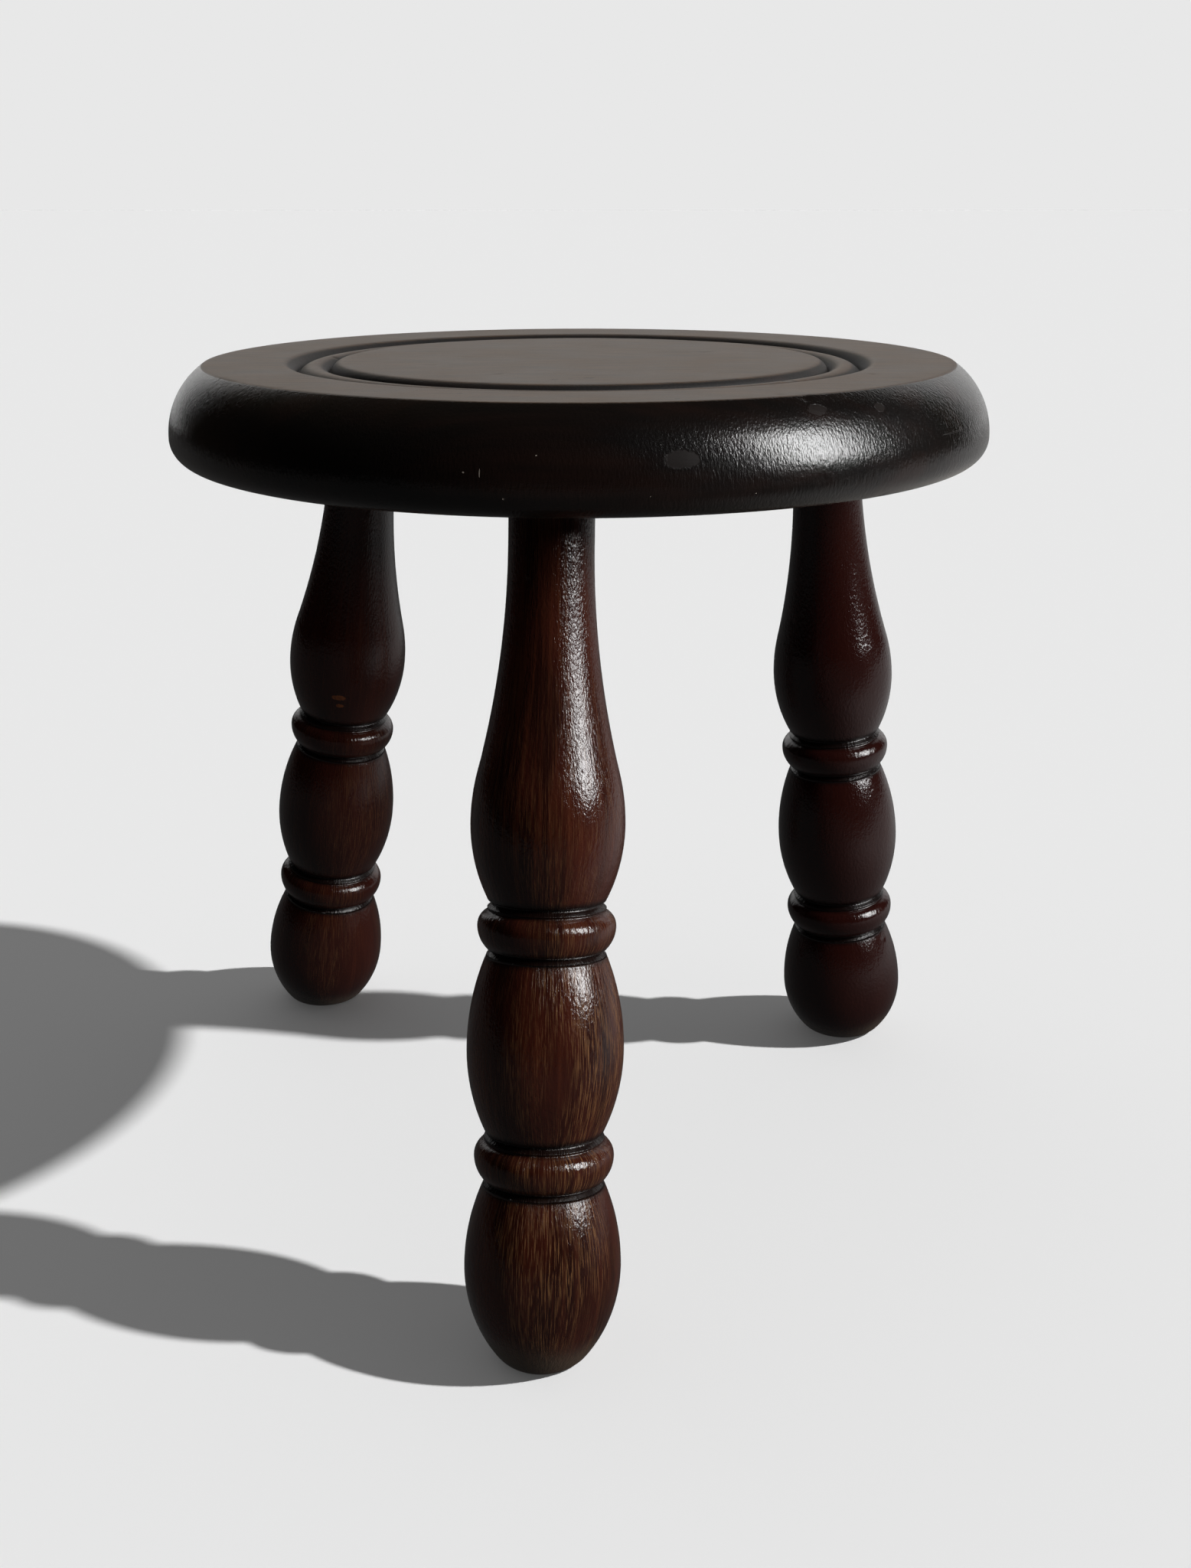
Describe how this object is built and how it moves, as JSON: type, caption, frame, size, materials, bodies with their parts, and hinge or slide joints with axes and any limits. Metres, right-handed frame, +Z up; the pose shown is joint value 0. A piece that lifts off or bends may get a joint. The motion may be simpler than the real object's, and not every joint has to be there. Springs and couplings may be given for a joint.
{
  "type": "three-legged stool",
  "caption": "Low turned wooden stool: round seat with a rolled rim and ring grooves on top, on splayed legs with bead rings and egg-shaped feet.",
  "frame": {"origin": "middle of the flat disc on top of the seat, on the seat's turning axis", "axes": "+Z up along the seat's turning axis, the front leg towards -Y, +X to the right of someone who faces that leg"},
  "size_m": [0.305, 0.344, 0.306],
  "materials": {
    "seat_wood": "satin",
    "leg_wood": "satin",
    "wedge_wood": "raw"
  },
  "bodies": {
    "root": {"seat": "seat_wood", "leg_front": "leg_wood", "leg_right": "leg_wood", "leg_left": "leg_wood", "wedge_front": "wedge_wood", "wedge_right": "wedge_wood", "wedge_left": "wedge_wood"}
  },
  "joints": []
}
